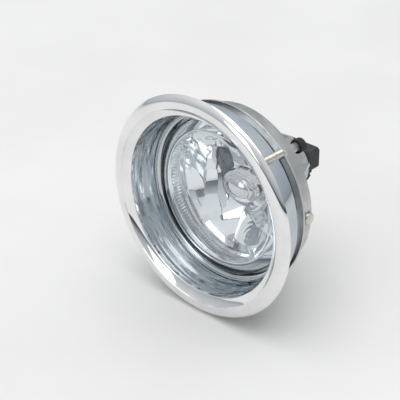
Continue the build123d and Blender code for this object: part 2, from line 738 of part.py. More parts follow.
def vent_cap():
    cap = rod_y(CAP_R, CAP_FRONT_Y, CAP_END_Y, x=VENT_X, z=VENT_Z)
    cap = fillet(cap.edges().group_by(Axis.Y)[-1], CAP_R / 4)
    return cap - rod_y(VENT_R, CAP_FRONT_Y - 1, VENT_END_Y, x=VENT_X, z=VENT_Z)


NODES = {
    "trim_bezel": [trim_bezel()],
    "flange_gasket": [flange_gasket()],
    "bezel_studs": around(bezel_stud(), STUD_COUNT, FIRST_STUD_ANGLE),
    "recess_cup": [recess_cup()],
    "bracket_ring": [bracket_ring()],
    "bracket_screws": around(bracket_screw(), STUD_COUNT, FIRST_STUD_ANGLE),
    "pivot_pins": [pivot_pin(side) for side in (-1, 1)],
    "pivot_bushes": [pivot_bush(side) for side in (-1, 1)],
    "lamp_housing": [lamp_housing()],
    "lens_seal": [lens_seal()],
    "lens": [lens()],
    "reflector": [reflector()],
    "bulb_shield": [bulb_shield()],
    "shield_leg": [shield_leg()],
    "shield_rivet": [shield_rivet()],
    "bulb_glass": [bulb_glass()],
    "filament": [filament()],
    "lead_wires": [lead_wire(side) for side in (-1, 1)],
    "bulb_collar": [bulb_collar()],
    "bulb_base": [bulb_base()],
    "bulb_o_ring": [bulb_o_ring()],
    "connector_terminals": [terminal(side) for side in (-1, 1)],
    "aim_screw": [aim_screw()],
    "aim_screw_clip": [aim_screw_clip()],
    "aim_nut": [aim_nut()],
    "vent_cap": [vent_cap()],
}

os.makedirs("parts", exist_ok=True)
for node, shapes in NODES.items():
    solids = [solid for shape in shapes for solid in shape.solids()]
    export_step(Compound(children=solids), f"parts/{node}.step")
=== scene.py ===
import math
import bpy
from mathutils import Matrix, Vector
from mathutils.geometry import delaunay_2d_cdt


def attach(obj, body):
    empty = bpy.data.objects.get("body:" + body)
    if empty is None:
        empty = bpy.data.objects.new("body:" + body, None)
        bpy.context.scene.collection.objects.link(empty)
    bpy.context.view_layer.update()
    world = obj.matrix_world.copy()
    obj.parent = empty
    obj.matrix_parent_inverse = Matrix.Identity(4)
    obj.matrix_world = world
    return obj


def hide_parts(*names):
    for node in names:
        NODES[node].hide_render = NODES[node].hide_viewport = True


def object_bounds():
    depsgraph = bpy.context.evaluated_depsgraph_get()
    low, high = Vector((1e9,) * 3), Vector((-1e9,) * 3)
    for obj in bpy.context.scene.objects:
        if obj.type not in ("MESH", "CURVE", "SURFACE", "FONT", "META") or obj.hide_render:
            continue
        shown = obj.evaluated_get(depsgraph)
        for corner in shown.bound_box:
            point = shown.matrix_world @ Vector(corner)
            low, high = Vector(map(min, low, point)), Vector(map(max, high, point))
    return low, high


# Round recessed fog light. The light's axis is Y, the lamp faces -Y, and +Z is up.
# The camera, floor and lights are in metres. Lengths of the pieces are in millimetres and become
# metres when a mesh is made.
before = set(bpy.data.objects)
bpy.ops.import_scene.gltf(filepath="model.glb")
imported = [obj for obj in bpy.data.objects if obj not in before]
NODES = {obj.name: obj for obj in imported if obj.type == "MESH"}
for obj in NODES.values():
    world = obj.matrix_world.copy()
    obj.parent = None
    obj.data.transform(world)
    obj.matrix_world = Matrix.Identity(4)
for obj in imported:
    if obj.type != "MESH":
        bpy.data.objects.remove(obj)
cad_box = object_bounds()
MM = 0.001
TAU = 2 * math.pi


# ---------------------------------------------------------------- camera, floor and light

CAMERA_AZIMUTH = math.radians(43.2)
CAMERA_ELEVATION = math.radians(29.06)
CAMERA_DISTANCE = 0.9
CAMERA_LIFT = 0.00485
CAMERA_LENS = 129.4
RIGHT_WALL = (0.80, -0.60, 0.0)
GROUND_COLOUR = (0.70, 0.69, 0.67, 1.0)
FLOOR_SIZE = 12.0
FLOOR_GAP = 0.0004


def view_axes():
    """Forward and up directions of the camera."""
    a, e = CAMERA_AZIMUTH, CAMERA_ELEVATION
    forward = Vector((-math.sin(a) * math.cos(e), math.cos(a) * math.cos(e), -math.sin(e)))
    right = Vector((math.cos(a), math.sin(a), 0))
    return forward, right.cross(forward)


def add_camera():
    forward, up = view_axes()
    data = bpy.data.cameras.new("camera")
    data.lens = CAMERA_LENS
    data.sensor_width = 36
    data.clip_start = 0.01
    camera = bpy.data.objects.new("camera", data)
    camera.location = up * CAMERA_LIFT - forward * CAMERA_DISTANCE
    camera.rotation_euler = forward.to_track_quat("-Z", "Y").to_euler()
    bpy.context.collection.objects.link(camera)
    bpy.context.scene.camera = camera


def ramp_node(tree, stops):
    node = tree.nodes.new("ShaderNodeValToRGB")
    ramp = node.color_ramp
    while len(ramp.elements) > len(stops):
        ramp.elements.remove(ramp.elements[-1])
    while len(ramp.elements) < len(stops):
        ramp.elements.new(1.0)
    for element, (place, colour) in zip(ramp.elements, stops):
        element.position = place
        element.color = (*colour, 1.0)
    return node


def sky_ramp(tree, height, stops):
    ramp = ramp_node(tree, stops)
    tree.links.new(height, ramp.inputs["Fac"])
    return ramp.outputs["Color"]


def add_world():
    """Studio surround: pale overhead, a grey-blue wall with a darker foot on the right, cream below."""
    world = bpy.data.worlds.new("studio")
    bpy.context.scene.world = world
    world.use_nodes = True
    tree = world.node_tree
    back = tree.nodes["Background"]
    place = tree.nodes.new("ShaderNodeTexCoord")
    split = tree.nodes.new("ShaderNodeSeparateXYZ")
    tree.links.new(place.outputs["Generated"], split.inputs["Vector"])
    height = split.outputs["Z"]
    left_sky = sky_ramp(tree, height, [
        (0.0, (0.36, 0.38, 0.41)),
        (0.10, (0.50, 0.53, 0.56)),
        (0.35, (0.60, 0.63, 0.66)),
        (0.70, (0.80, 0.83, 0.84)),
        (1.0, (0.95, 0.96, 0.96)),
    ])
    right_sky = sky_ramp(tree, height, [
        (0.0, (0.03, 0.04, 0.05)),
        (0.05, (0.06, 0.08, 0.10)),
        (0.14, (0.36, 0.39, 0.43)),
        (0.40, (0.56, 0.59, 0.62)),
        (1.0, (0.95, 0.96, 0.96)),
    ])
    turn = tree.nodes.new("ShaderNodeVectorMath")
    turn.operation = "DOT_PRODUCT"
    turn.inputs[1].default_value = RIGHT_WALL
    side = tree.nodes.new("ShaderNodeMapRange")
    side.interpolation_type = "SMOOTHSTEP"
    side.inputs["From Min"].default_value = 0.35
    side.inputs["From Max"].default_value = 0.85
    tree.links.new(place.outputs["Generated"], turn.inputs[0])
    tree.links.new(turn.outputs["Value"], side.inputs["Value"])
    blend = tree.nodes.new("ShaderNodeMix")
    blend.data_type = "RGBA"
    tree.links.new(side.outputs["Result"], blend.inputs["Factor"])
    tree.links.new(left_sky, blend.inputs["A"])
    tree.links.new(right_sky, blend.inputs["B"])
    below = tree.nodes.new("ShaderNodeMath")
    below.operation = "LESS_THAN"
    below.inputs[1].default_value = 0.0
    tree.links.new(height, below.inputs[0])
    ground = tree.nodes.new("ShaderNodeMix")
    ground.data_type = "RGBA"
    ground.inputs["B"].default_value = GROUND_COLOUR
    tree.links.new(below.outputs["Value"], ground.inputs["Factor"])
    tree.links.new(blend.outputs["Result"], ground.inputs["A"])
    tree.links.new(ground.outputs["Result"], back.inputs["Color"])


def add_softbox(name, toward, distance, size, power):
    """Area light facing the lamp from a direction."""
    data = bpy.data.lights.new(name, "AREA")
    data.shape = "RECTANGLE"
    data.size, data.size_y = size
    data.energy = power
    light = bpy.data.objects.new(name, data)
    direction = Vector(toward).normalized()
    light.location = direction * distance
    light.rotation_euler = (-direction).to_track_quat("-Z", "Y").to_euler()
    bpy.context.collection.objects.link(light)


def add_floor(material):
    size = FLOOR_SIZE
    z = cad_box[0].z - FLOOR_GAP
    mesh = bpy.data.meshes.new("floor")
    corners = [(-size, -size, z), (size, -size, z), (size, size, z), (-size, size, z)]
    mesh.from_pydata(corners, [], [(0, 1, 2, 3)])
    mesh.materials.append(material)
    floor = bpy.data.objects.new("floor", mesh)
    bpy.context.collection.objects.link(floor)


# ---------------------------------------------------------------- materials

def new_material(name, **sockets):
    """A Principled material with these socket values; returns the material and its shader."""
    material = bpy.data.materials.new(name)
    material.use_nodes = True
    shader = material.node_tree.nodes["Principled BSDF"]
    for label, value in sockets.items():
        shader.inputs[label.replace("_", " ")].default_value = value
    return material, shader


def noise_node(tree, scale, detail=4.0):
    """Noise in metres of the object's own frame."""
    place = tree.nodes.new("ShaderNodeTexCoord")
    noise = tree.nodes.new("ShaderNodeTexNoise")
    noise.inputs["Scale"].default_value = scale
    noise.inputs["Detail"].default_value = detail
    tree.links.new(place.outputs["Object"], noise.inputs["Vector"])
    return noise


def vary_roughness(material, shader, noise, low, high):
    tree = material.node_tree
    spread = tree.nodes.new("ShaderNodeMapRange")
    spread.inputs["From Min"].default_value = 0.35
    spread.inputs["From Max"].default_value = 0.65
    spread.inputs["To Min"].default_value = low
    spread.inputs["To Max"].default_value = high
    tree.links.new(noise.outputs["Fac"], spread.inputs["Value"])
    tree.links.new(spread.outputs["Result"], shader.inputs["Roughness"])


def vary_colour(material, shader, noise, dark, light):
    tree = material.node_tree
    ramp = ramp_node(tree, [(0.38, dark), (0.62, light)])
    tree.links.new(noise.outputs["Fac"], ramp.inputs["Fac"])
    tree.links.new(ramp.outputs["Color"], shader.inputs["Base Color"])


def add_bump(material, shader, noise, depth_mm):
    tree = material.node_tree
    bump = tree.nodes.new("ShaderNodeBump")
    bump.inputs["Strength"].default_value = 1.0
    bump.inputs["Distance"].default_value = depth_mm * MM
    tree.links.new(noise.outputs["Fac"], bump.inputs["Height"])
    tree.links.new(bump.outputs["Normal"], shader.inputs["Normal"])


def plated(name, dark, light, roughness, wave_mm):
    """Bright plating: nearly a mirror, with faint haze and a slight waviness of the moulding under it."""
    material, shader = new_material(name, Metallic=1.0)
    vary_colour(material, shader, noise_node(material.node_tree, 60.0), dark, light)
    vary_roughness(material, shader, noise_node(material.node_tree, 220.0), *roughness)
    add_bump(material, shader, noise_node(material.node_tree, 55.0, 1.0), wave_mm)
    return material


def rough_metal(name, dark, light, roughness, grain, depth_mm):
    """Cast, plated or drawn metal with a fine grain."""
    material, shader = new_material(name, Metallic=1.0)
    grain_noise = noise_node(material.node_tree, grain, 6.0)
    vary_colour(material, shader, noise_node(material.node_tree, grain / 12), dark, light)
    vary_roughness(material, shader, noise_node(material.node_tree, grain / 4), *roughness)
    add_bump(material, shader, grain_noise, depth_mm)
    return material


def moulded(name, dark, light, roughness, grain, depth_mm, specular=0.4):
    """Moulded plastic or rubber with a fine spark-eroded texture."""
    material, shader = new_material(name)
    shader.inputs["Specular IOR Level"].default_value = specular
    vary_colour(material, shader, noise_node(material.node_tree, grain / 20), dark, light)
    vary_roughness(material, shader, noise_node(material.node_tree, grain / 6), *roughness)
    add_bump(material, shader, noise_node(material.node_tree, grain, 3.0), depth_mm)
    return material


def clear(name, tint, ior, roughness):
    material, shader = new_material(name)
    shader.inputs["Base Color"].default_value = (*tint, 1.0)
    shader.inputs["Transmission Weight"].default_value = 1.0
    shader.inputs["IOR"].default_value = ior
    vary_roughness(material, shader, noise_node(material.node_tree, 150.0), *roughness)
    return material


def floor_material():
    material, shader = new_material("floor_paper", Roughness=0.85)
    noise = noise_node(material.node_tree, 6.0)
    vary_colour(material, shader, noise, (0.78, 0.77, 0.755), (0.81, 0.80, 0.785))
    return material


# ---------------------------------------------------------------- mesh helpers

def arc(start, through, end, count):
    """Points along the circle through three points of a profile, both ends included."""
    (ax, ay), (bx, by), (cx, cy) = start, through, end
    d = 2 * (ax * (by - cy) + bx * (cy - ay) + cx * (ay - by))
    a2, b2, c2 = ax * ax + ay * ay, bx * bx + by * by, cx * cx + cy * cy
    ux = (a2 * (by - cy) + b2 * (cy - ay) + c2 * (ay - by)) / d
    uy = (a2 * (cx - bx) + b2 * (ax - cx) + c2 * (bx - ax)) / d
    radius = math.hypot(ax - ux, ay - uy)
    t0 = math.atan2(ay - uy, ax - ux)
    t1 = math.atan2(by - uy, bx - ux)
    t2 = math.atan2(cy - uy, cx - ux)
    turn = (t2 - t0) % TAU
    if (t1 - t0) % TAU > turn:
        turn -= TAU
    angles = [t0 + turn * i / (count - 1) for i in range(count)]
    return [(ux + radius * math.cos(t), uy + radius * math.sin(t)) for t in angles]


def dome(tip_y, edge_r, edge_y, count):
    """Arc from a tip on the axis to an edge, of a circle centred on the axis."""
    rise = edge_y - tip_y
    radius = (edge_r ** 2 + rise ** 2) / (2 * rise)
    middle_r = edge_r / 2
    middle_y = tip_y + radius - math.sqrt(radius ** 2 - middle_r ** 2)
    return arc((0, tip_y), (middle_r, middle_y), (edge_r, edge_y), count)


def rounded(corners, steps=5):
    """Closed profile from (radius, y, rounding) corners; each rounding becomes a short arc."""
    path = []
    count = len(corners)
    for i, (r, y, rounding) in enumerate(corners):
        if not rounding:
            path.append((r, y))
            continue
        here = Vector((r, y))
        before = (Vector(corners[i - 1][:2]) - here).normalized()
        after = (Vector(corners[(i + 1) % count][:2]) - here).normalized()
        half = before.angle(after) / 2
        reach = rounding / math.tan(half)
        start = here + before * reach
        end = here + after * reach
        middle = here + (before + after).normalized() * (rounding / math.sin(half) - rounding)
        path += arc(tuple(start), tuple(middle), tuple(end), steps)
    return path


def finish_object(name, mesh, material, sharp_degrees=35.0):
    mesh.validate()
    for polygon in mesh.polygons:
        polygon.use_smooth = True
    mesh.set_sharp_from_angle(angle=math.radians(sharp_degrees))
    mesh.materials.append(material)
    piece = bpy.data.objects.new(name, mesh)
    bpy.context.collection.objects.link(piece)
    return piece


def lathe_data(profile, segments, wobble=None):
    """Vertices and faces of a closed profile turned about Y. wobble(angle, r, y) may change the radius."""
    verts, faces, rings = [], [], []
    for r, y in profile:
        if r < 1e-6:
            rings.append([len(verts)])
            verts.append((0, y * MM, 0))
            continue
        ring = []
        for k in range(segments):
            angle = TAU * k / segments
            radius = wobble(angle, r, y) if wobble else r
            ring.append(len(verts))
            verts.append((radius * MM * math.cos(angle), y * MM, radius * MM * math.sin(angle)))
        rings.append(ring)
    for i, ring in enumerate(rings):
        other = rings[(i + 1) % len(rings)]
        if len(ring) == 1 and len(other) == 1:
            continue
        for k in range(segments):
            n = (k + 1) % segments
            if len(ring) == 1:
                faces.append((ring[0], other[k], other[n]))
            elif len(other) == 1:
                faces.append((ring[k], other[0], ring[n]))
            else:
                faces.append((ring[k], other[k], other[n], ring[n]))
    return verts, faces


def outward(verts, faces):
    """The faces of a closed group, turned so that they point out."""
    volume = 0.0
    for face in faces:
        first = Vector(verts[face[0]])
        for i in range(1, len(face) - 1):
            volume += first.dot(Vector(verts[face[i]]).cross(Vector(verts[face[i + 1]])))
    return faces if volume > 0 else [tuple(reversed(face)) for face in faces]


def place_copies(verts, faces, places):
    """Copies of one piece's data moved to points (x, z) across the axis."""
    all_verts, all_faces = [], []
    for x, z in places:
        start = len(all_verts)
        all_verts += [(vx + x * MM, vy, vz + z * MM) for vx, vy, vz in verts]
        all_faces += [tuple(i + start for i in face) for face in faces]
    return all_verts, all_faces


def on_circle(radius, angles):
    return [(radius * math.cos(a), radius * math.sin(a)) for a in angles]


def build_mesh_piece(name, groups, material, sharp_degrees=35.0):
    """One object from several closed groups of vertices and faces."""
    mesh = bpy.data.meshes.new(name)
    verts, faces = [], []
    for more_verts, more_faces in groups:
        start = len(verts)
        verts += more_verts
        faces += [tuple(i + start for i in face) for face in outward(more_verts, more_faces)]
    mesh.from_pydata(verts, [], faces)
    return finish_object(name, mesh, material, sharp_degrees)


def lathe(name, profile, material, segments=256, sharp_degrees=35.0):
    return build_mesh_piece(name, [lathe_data(profile, segments)], material, sharp_degrees)


def install(piece, body, slot, *nodes):
    """The piece rides on a body and stands for CAD nodes."""
    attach(piece, body)
    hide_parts(*nodes)


# ---------------------------------------------------------------- trim bezel

BEZEL_R = 74.97
BEZEL_EDGE_Y = -0.9
CREST_R = 66.6
CREST_Y = -4.2
BEAD_BULGE = 1.59
MOUTH_R = 61.0
MOUTH_Y = -0.9
REAR_Y = -0.3
JOINT_Y = 1.2
SPIGOT_R = 63.0
GROOVE_IN_R = 63.9
GROOVE_OUT_R = 73.6
GROOVE_Y = -1.9


def bezel_profile():
    """Rounded bead, hollow chamfer down to the mouth, and a back with a groove."""
    chord = math.dist((BEZEL_R, BEZEL_EDGE_Y), (CREST_R, CREST_Y))
    through = (
        (BEZEL_R + CREST_R) / 2 + BEAD_BULGE * (BEZEL_EDGE_Y - CREST_Y) / chord,
        (BEZEL_EDGE_Y + CREST_Y) / 2 - BEAD_BULGE * (BEZEL_R - CREST_R) / chord,
    )
    bead = arc((BEZEL_R, BEZEL_EDGE_Y), through, (CREST_R, CREST_Y), 25)
    dip = ((CREST_R + MOUTH_R) / 2, (CREST_Y + MOUTH_Y) / 2 + 0.25)
    crease = [(CREST_R - 0.1, CREST_Y + 0.22), (CREST_R - 0.35, CREST_Y + 0.26)]
    chamfer = crease + arc((CREST_R - 0.5, CREST_Y + 0.2), dip, (MOUTH_R + 0.3, MOUTH_Y - 0.15), 15)
    lip = arc((MOUTH_R + 0.22, MOUTH_Y - 0.08), (MOUTH_R + 0.05, MOUTH_Y + 0.1), (MOUTH_R, MOUTH_Y + 0.4), 5)
    back = rounded([
        (MOUTH_R, JOINT_Y, 0.0),
        (SPIGOT_R, JOINT_Y, 0.15),
        (SPIGOT_R, REAR_Y, 0.0),
        (GROOVE_IN_R, REAR_Y, 0.1),
        (GROOVE_IN_R, GROOVE_Y, 0.0),
        (GROOVE_OUT_R, GROOVE_Y, 0.0),
        (GROOVE_OUT_R, REAR_Y, 0.1),
        (BEZEL_R, REAR_Y, 0.15),
    ], 4)
    return bead + chamfer + lip + back


def build_bezel(material):
    piece = lathe("bezel_ring", bezel_profile(), material, 384, sharp_degrees=28.0)
    install(piece, "carrier", "bezel_chrome", "trim_bezel")


# ---------------------------------------------------------------- recess cup

CUP_FRONT_R = 61.2
CUP_REAR_R = 55.8
CUP_REAR_Y = 26.0
CUP_REAR_OUT_R = 57.4
TONGUE_IN_R = 61.7
TONGUE_OUT_R = 62.4
TONGUE_Y = -0.1
SPIGOT_END_Y = 20.0
SPIGOT_BORE_R = 61.4
SLOT_IN_R = 61.2
SLOT_Y = 8.2
WELL_STEPS = 84
# Rings in the well's wall: depth along the axis, and how far the wall is pushed in there.
WELL_RINGS = ((1.9, 0.0), (5.2, 0.15), (8.4, -0.09), (11.6, 0.13), (14.6, -0.08), (17.3, 0.0))
LIP_R = 55.2
LIP_START_Y = 17.4
LIP_EDGE_Y = 20.6
BOSS_CIRCLE_R = 60.1
BOSS_R = 2.6
BOSS_BORE_R = 1.5
BOSS_TIP_Y = 18.8
BOSS_BORE_Y = 19.8
STUD_ANGLES = [TAU * (k + 0.5) / 4 for k in range(4)]


def well_wave(y):
    """Shallow rings left in the drawn wall: an inward push of the wall at a depth."""
    for (y0, w0), (y1, w1) in zip(WELL_RINGS, WELL_RINGS[1:]):
        if y0 <= y <= y1:
            ease = (1 - math.cos(math.pi * (y - y0) / (y1 - y0))) / 2
            return w0 + (w1 - w0) * ease
    return 0.0


def cup_profile():
    """Tongue in the bezel, spigot with a slot behind it, wall, curved lip and ringed inside."""
    tongue = [
        (TONGUE_IN_R, JOINT_Y),
        (TONGUE_IN_R, TONGUE_Y),
        (TONGUE_OUT_R, TONGUE_Y),
        (TONGUE_OUT_R, JOINT_Y),
    ]
    outside = rounded([
        (SPIGOT_R, JOINT_Y, 0.2),
        (SPIGOT_R, SPIGOT_END_Y, 0.4),
        (SPIGOT_BORE_R, SPIGOT_END_Y, 0.3),
        (SPIGOT_BORE_R, SLOT_Y, 0.0),
        (SLOT_IN_R, SLOT_Y, 0.0),
        (CUP_REAR_OUT_R, CUP_REAR_Y, 0.3),
        (LIP_R, CUP_REAR_Y, 0.1),
    ], 4)
    slope = (CUP_REAR_R - CUP_FRONT_R) / (CUP_REAR_Y - JOINT_Y)
    start_r = CUP_FRONT_R + slope * (LIP_START_Y - JOINT_Y)
    lip = [(LIP_R, LIP_EDGE_Y + 0.4), (LIP_R + 0.1, LIP_EDGE_Y + 0.1)]
    lip += arc((LIP_R + 0.35, LIP_EDGE_Y), (LIP_R + 1.7, LIP_EDGE_Y - 0.9), (start_r, LIP_START_Y), 16)
    inside = []
    for i in range(1, WELL_STEPS):
        y = LIP_START_Y + (JOINT_Y - LIP_START_Y) * i / WELL_STEPS
        inside.append((CUP_FRONT_R + slope * (y - JOINT_Y) - well_wave(y), y))
    return tongue + outside + lip + inside + [(CUP_FRONT_R + 0.35, JOINT_Y + 0.05)]


def boss_profile():
    """Post with a blind bore that opens to the rear."""
    chamfer = 0.2
    return [
        (0, BOSS_TIP_Y),
        (BOSS_R - chamfer, BOSS_TIP_Y),
        (BOSS_R, BOSS_TIP_Y + chamfer),
        (BOSS_R, CUP_REAR_Y),
        (BOSS_BORE_R, CUP_REAR_Y),
        (BOSS_BORE_R, BOSS_BORE_Y),
        (0, BOSS_BORE_Y),
    ]


def build_cup(material):
    wall = lathe_data(cup_profile(), 320)
    bosses = place_copies(*lathe_data(boss_profile(), 32), on_circle(BOSS_CIRCLE_R, STUD_ANGLES))
    piece = build_mesh_piece("well_cup", [wall, bosses], material, 40.0)
    install(piece, "carrier", "well_chrome", "recess_cup")


# ---------------------------------------------------------------- lens

LENS_R = 53.0
LENS_BORE_R = 50.2
FACE_R = 46.0
FACE_TIP_Y = 11.2
FACE_EDGE_Y = 15.2
INNER_R = 43.0
INNER_TIP_Y = 14.2
INNER_EDGE_Y = 18.2
SKIRT_Y = 22.45
SKIRT_END_Y = 29.0


def lens_profile():
    """Domed face and round shoulder outside, the same inside, and the seam to the skirt between."""
    face = dome(FACE_TIP_Y, FACE_R, FACE_EDGE_Y, 25)
    shoulder = arc((FACE_R, FACE_EDGE_Y), (50.95, 16.43), (LENS_R, 19.4), 16)
    seam = [(LENS_R, SKIRT_Y), (LENS_BORE_R, SKIRT_Y)]
    inner_shoulder = arc((LENS_BORE_R, SKIRT_Y - 0.05), (48.1, 19.44), (INNER_R, INNER_EDGE_Y), 16)
    inner_face = dome(INNER_TIP_Y, INNER_R, INNER_EDGE_Y, 25)[::-1]
    return face + shoulder[1:] + seam + inner_shoulder + inner_face[1:]


def lens_skirt_profile():
    chamfer = 0.2
    return [
        (LENS_R, SKIRT_Y),
        (LENS_R, SKIRT_END_Y - chamfer),
        (LENS_R - chamfer, SKIRT_END_Y),
        (LENS_BORE_R + chamfer, SKIRT_END_Y),
        (LENS_BORE_R, SKIRT_END_Y - chamfer),
        (LENS_BORE_R, SKIRT_Y),
    ]


def build_lens(glass, frosted):
    """Clear lens, and its skirt with the frosted face that the sealant grips."""
    install(lathe("lens_glass", lens_profile(), glass, 320), "lamp", "lens_clear", "lens")
    install(lathe("lens_skirt", lens_skirt_profile(), frosted, 320), "lamp", "lens_clear", "lens")


# ---------------------------------------------------------------- reflector

VERTEX_Y = 68.0
FOCAL = 14.03
DISH_R = 44.0
DISH_EDGE_Y = 33.5
MOUTH_IN_R = 45.0
TILE_DEPTH = 1.4
TILE_STEP = 1.3
RIPPLE_PITCH = 2.6
CLIP_SIDES = 180


def dish_y(x, z):
    """Depth of the mean paraboloid."""
    return VERTEX_Y - (x * x + z * z) / (4 * FOCAL)


def clip_to_disc(points, radius):
    """Cuts a polygon to a disc about the axis."""
    for k in range(CLIP_SIDES):
        angle = TAU * (k + 0.5) / CLIP_SIDES
        nx, nz = math.cos(angle), math.sin(angle)
        limit = radius * math.cos(math.pi / CLIP_SIDES)
        kept = []
        for i, here in enumerate(points):
            before = points[i - 1]
            d_here = here[0] * nx + here[1] * nz - limit
            d_before = before[0] * nx + before[1] * nz - limit
            if (d_here <= 0) != (d_before <= 0):
                t = d_before / (d_before - d_here)
                kept.append((before[0] + (here[0] - before[0]) * t, before[1] + (here[1] - before[1]) * t))
            if d_here <= 0:
                kept.append(here)
        points = kept
        if not points:
            return points
    return points


def inside_polygon(x, z, points):
    hit = False
    for i, (ax, az) in enumerate(points):
        bx, bz = points[i - 1]
        if (az > z) != (bz > z) and x < (bx - ax) * (z - az) / (bz - az) + ax:
            hit = not hit
    return hit


def split_edges(points, step):
    """Adds points along a loop, about a step apart."""
    loop = []
    for i, here in enumerate(points):
        before = points[i - 1]
        length = math.dist(here, before)
        if length < 1e-4:
            continue
        count = max(1, round(length / step))
        for k in range(1, count + 1):
            loop.append((
                before[0] + (here[0] - before[0]) * k / count,
                before[1] + (here[1] - before[1]) * k / count,
            ))
    return loop


def tile_data(corners, tilt, lift, flatness, ripple=0.0):
    """One facet of the reflector as a closed tile.

    Its front follows the paraboloid, flattened towards its own tangent plane, tilted and moved forward."""
    step = RIPPLE_PITCH / 5 if ripple else TILE_STEP
    loop = split_edges(clip_to_disc(corners, DISH_R), step)
    if len(loop) < 3:
        return [], []
    cx = sum(p[0] for p in loop) / len(loop)
    cz = sum(p[1] for p in loop) / len(loop)
    grid = []
    x0, x1 = min(p[0] for p in loop), max(p[0] for p in loop)
    z0, z1 = min(p[1] for p in loop), max(p[1] for p in loop)
    nx, nz = max(1, int((x1 - x0) / step)), max(1, int((z1 - z0) / step))
    for i in range(1, nx):
        for k in range(1, nz):
            p = (x0 + (x1 - x0) * i / nx, z0 + (z1 - z0) * k / nz)
            near = min(math.dist(p, q) for q in loop)
            if near > step * 0.5 and inside_polygon(*p, loop):
                grid.append(p)
    flat = [Vector(p) for p in loop + grid]
    edges = [(i, (i + 1) % len(loop)) for i in range(len(loop))]
    points, _, triangles, _, _, _ = delaunay_2d_cdt(flat, edges, [], 1, 1e-5)

    def front(x, z):
        dx, dz = x - cx, z - cz
        curved = dish_y(x, z)
        plane = dish_y(cx, cz) - (cx * dx + cz * dz) / (2 * FOCAL)
        wave = ripple * math.cos(TAU * math.hypot(dx, dz) / RIPPLE_PITCH)
        return curved + (plane - curved) * flatness + tilt[0] * dx + tilt[1] * dz - lift + wave

    count = len(points)
    verts = [(p.x * MM, front(p.x, p.y) * MM, p.y * MM) for p in points]
    verts += [(p.x * MM, (dish_y(p.x, p.y) + TILE_DEPTH) * MM, p.y * MM) for p in points]
    faces = [tuple(t) for t in triangles]
    faces += [tuple(i + count for i in reversed(t)) for t in triangles]
    sides = dict.fromkeys((t[i], t[(i + 1) % 3]) for t in triangles for i in range(3))
    for a, b in sides:
        if (b, a) not in sides:
            faces.append((b, a, a + count, b + count))
    return verts, faces


APEX_X = -36.7
ARM_SLOPE = -2.04
COLUMN_X = -47.0
CHEVRON_STEPS = (-9.1, -1.4, 0.9, 4.0, 7.2, 11.0, 15.0, 20.0, 26.0, 33.0)


def chevrons():
    """Slanting stripes of the outer column, above its large facet."""
    bands = []
    rise = ARM_SLOPE * (COLUMN_X - APEX_X)
    for k, (low, high) in enumerate(zip(CHEVRON_STEPS, CHEVRON_STEPS[1:])):
        corners = [(APEX_X, low), (APEX_X, high), (COLUMN_X, high + rise), (COLUMN_X, low + rise)]
        tilt = (0.12, 0.10) if k % 2 else (-0.02, -0.05)
        bands.append((corners, tilt, 0.3 * (k % 2), 0.7))
    return bands


